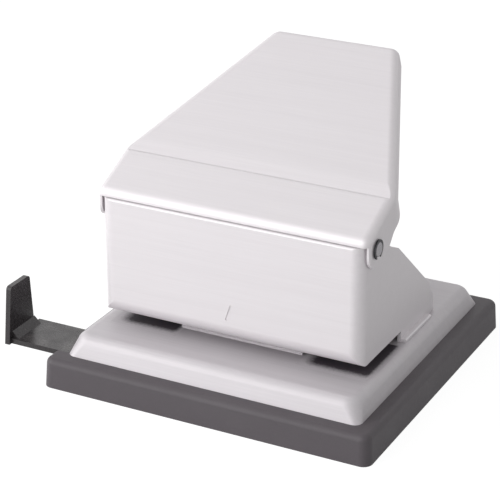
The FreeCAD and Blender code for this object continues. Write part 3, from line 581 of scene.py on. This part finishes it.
def shadowSheetPiece(name, side, sizes, fade, material, place):
    # thin dark sheet on the plate that paints the shadow in the paper slot, thinner and fading to the plate's
    # colour round
    # its border: a strip behind the housing's front and a tail along its side
    inner, outer = sizes["innerEnd"][side], sizes["outerEnd"][side]
    tail = outer - sizes["sideWide"]

    def shadeCoverAt(x, y):
        shares = [(y - sizes["front"]) / fade["front"], (outer - x) / fade["outer"][side],
                  (sizes["sideDeep"] - y) / fade["back"]]
        if x < tail:
            shares += [(x - inner) / fade["inner"][side], (sizes["deep"] - y) / fade["back"]]
        elif y > sizes["deep"]:
            shares.append((x - tail) / fade["back"])
        left = 1.0
        for share in shares:
            share = min(max(share, 0.0), 1.0)
            left *= share * share * (3 - 2 * share)
        return left

    columns = round((outer - inner) / sizes["cells"])
    rows = round((sizes["sideDeep"] - sizes["front"]) / sizes["cells"])
    shape = bmesh.new()
    shadeCover = shape.verts.layers.float.new("shadeCover")
    grid = {}
    for i in range(columns + 1):
        for j in range(rows + 1):
            x = inner + (outer - inner) * i / columns
            y = sizes["front"] + (sizes["sideDeep"] - sizes["front"]) * j / rows
            if x >= tail - 0.01 or y <= sizes["deep"]:
                left = shadeCoverAt(x, y)
                height = sizes["thin"] + (sizes["high"] - sizes["thin"]) * left
                spot = Vector((side * x, y, height)) * mm
                grid[i, j] = shape.verts.new(place + spot)
                grid[i, j][shadeCover] = left
    for i, j in list(grid):
        corners = [grid.get(key) for key in ((i, j), (i + 1, j), (i + 1, j + 1), (i, j + 1))]
        if all(corners):
            shape.faces.new(corners)
    loose = [v for v in shape.verts if not v.link_faces]
    bmesh.ops.delete(shape, geom=loose, context="VERTS")
    skirt = bmesh.ops.extrude_edge_only(shape, edges=[e for e in shape.edges if e.is_boundary])["geom"]
    for vert in skirt:
        if isinstance(vert, bmesh.types.BMVert):
            vert.co.z = place.z
    bmesh.ops.holes_fill(shape, edges=[e for e in shape.edges if e.is_boundary], sides=0)
    bmesh.ops.recalc_face_normals(shape, faces=shape.faces)
    mesh = bpy.data.meshes.new(name)
    shape.to_mesh(mesh)
    shape.free()
    mesh.materials.append(material)
    placePiece(name, mesh, shadowSheetSharp, "unit")


# dark colour of the sheets that paint the shadow inside the paper slots
shadowSheetFinish = dict(rubberFinish, rough=(0.5, 0.65), dark=(0.044, 0.037, 0.045), light=(0.062, 0.053, 0.063))
shadowSheetFadeTo = {"colour": baseFinish["dark"], "metallic": baseFinish["metallic"],
           "speck": 900.0, "ragged": 0.5, "from": (0.1, 0.9)}
shadowSheetSkin = shadowSheetMaterial("slotShadowRubber", shadowSheetFinish, shadowSheetFadeTo)
# the middle of the housing's front, at the height of the base plate's top
shadowSheetPlace = Vector((boxMiddle("body_housing").x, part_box("body_housing")[0].y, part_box("base_plate")[1].z))
for side, word in ((-1, "left"), (1, "right")):
    shadowSheetPiece("slot_pad_" + word, side, shadowSheetSizes, shadowSheetFade, shadowSheetSkin, shadowSheetPlace)
print("pads laid")


def floorMaterial(sizes):
    # pale, and seen as white by the camera and by anything that mirrors it, but for the soft shadow
    material = bpy.data.materials.new("paleFloor")
    material.use_nodes = True
    tree = material.node_tree
    tree.nodes.clear()
    path = addNode(tree, "ShaderNodeLightPath")
    mirrored = mathNode(tree, "MAXIMUM", path.outputs["Is Glossy Ray"], path.outputs["Is Transmission Ray"])
    place = addNode(tree, "ShaderNodeTexCoord").outputs["Object"]
    mottle = rangeNode(tree, noiseNode(tree, place, 3.0, 3.0, 0.5), 0.3, 0.7, 0.0, 1.0)
    paper = addNode(tree, "ShaderNodeBsdfDiffuse")
    tree.links.new(mixColour(tree, mottle, sizes["paper"][0], sizes["paper"][1]), paper.inputs["Color"])
    shader = paper.outputs[0]
    rays = ((path.outputs["Is Camera Ray"], sizes["seen"]), (mirrored, sizes["mirrored"]))
    for ray, (faintness, strength) in rays:
        faint = addNode(tree, "ShaderNodeBsdfDiffuse")
        faint.inputs["Color"].default_value = (faintness, faintness, faintness, 1)
        glow = addNode(tree, "ShaderNodeEmission")
        glow.inputs["Strength"].default_value = strength
        both = addNode(tree, "ShaderNodeAddShader")
        tree.links.new(faint.outputs[0], both.inputs[0])
        tree.links.new(glow.outputs[0], both.inputs[1])
        chosen = addNode(tree, "ShaderNodeMixShader")
        tree.links.new(ray, chosen.inputs[0])
        tree.links.new(shader, chosen.inputs[1])
        tree.links.new(both.outputs[0], chosen.inputs[2])
        shader = chosen.outputs[0]
    tree.links.new(shader, addNode(tree, "ShaderNodeOutputMaterial").inputs["Surface"])
    return material


# seen and mirrored: a grey that takes the shadow, and a glow that lifts it to white
floorSizes = {"reach": 4, "paper": ((0.52, 0.52, 0.52), (0.55, 0.55, 0.55)),
              "seen": (0.18, 0.92), "mirrored": (0.55, 0.4)}
floorMesh = bpy.data.meshes.new("floor")
floorReach = floorSizes["reach"]
floorCorners = [(x * floorReach, y * floorReach, 0) for x, y in ((-1, -1), (1, -1), (1, 1), (-1, 1))]
floorMesh.from_pydata(floorCorners, [], [(0, 1, 2, 3)])
floor = bpy.data.objects.new("floor", floorMesh)
floorMesh.materials.append(floorMaterial(floorSizes))
bpy.context.scene.collection.objects.link(floor)


def studioWorld(sizes):
    # white where it is seen or mirrored, a weak even light everywhere else
    world = bpy.data.worlds.new("studio")
    world.use_nodes = True
    tree = world.node_tree
    path = addNode(tree, "ShaderNodeLightPath")
    mirrored = mathNode(tree, "MAXIMUM", path.outputs["Is Glossy Ray"], path.outputs["Is Transmission Ray"])
    seen = mathNode(tree, "MAXIMUM", path.outputs["Is Camera Ray"], mirrored)
    sky = tree.nodes["Background"]
    sky.inputs["Color"].default_value = (1, 1, 1, 1)
    tree.links.new(rangeNode(tree, seen, 0.0, 1.0, sizes["light"], sizes["seen"]), sky.inputs["Strength"])
    return world


skySizes = {"light": 0.43, "seen": 1.0}
bpy.context.scene.world = studioWorld(skySizes)
lampSizes = {
    "frontBox": {"from": (-0.45, -0.86, 0.28), "distance": 1.3, "size": (2.6, 1.6),
                 "power": 16.0, "mirrored": True},
    "leftBox": {"from": (-0.85, -0.50, 0.2), "distance": 1.0, "size": (1.5, 1.2),
                "power": 13.5, "mirrored": False},
}
lampAim = Vector((0, -0.01, 0.05))


def softbox(name, sizes):
    lamp = bpy.data.lights.new(name, "AREA")
    lamp.shape = "RECTANGLE"
    lamp.size, lamp.size_y = sizes["size"]
    lamp.energy = sizes["power"]
    holder = bpy.data.objects.new(name, lamp)
    bpy.context.scene.collection.objects.link(holder)
    way = Vector(sizes["from"]).normalized()
    holder.location = lampAim + way * sizes["distance"]
    holder.rotation_euler = way.to_track_quat("Z", "Y").to_euler()
    holder.visible_glossy = sizes["mirrored"]


for lampName, sizes in lampSizes.items():
    softbox(lampName, sizes)

# the focal length is in pixels of a frame as wide as pixelsWide
lens = {"place": (0.32881, -0.64027, 0.36545), "turn": (90 - 23.981, 0.0, 27.290),
        "sensor": 36.0, "focalPixels": 1923.4, "pixelsWide": 500, "clipStart": 0.01}
cameraData = bpy.data.cameras.new("camera")
cameraData.sensor_width = lens["sensor"]
cameraData.lens = lens["focalPixels"] * lens["sensor"] / lens["pixelsWide"]
cameraData.clip_start = lens["clipStart"]
camera = bpy.data.objects.new("camera", cameraData)
camera.location = lens["place"]
camera.rotation_euler = [math.radians(a) for a in lens["turn"]]
bpy.context.scene.collection.objects.link(camera)
bpy.context.scene.camera = camera
bpy.context.scene.view_settings.view_transform = "Standard"
print("stage set")
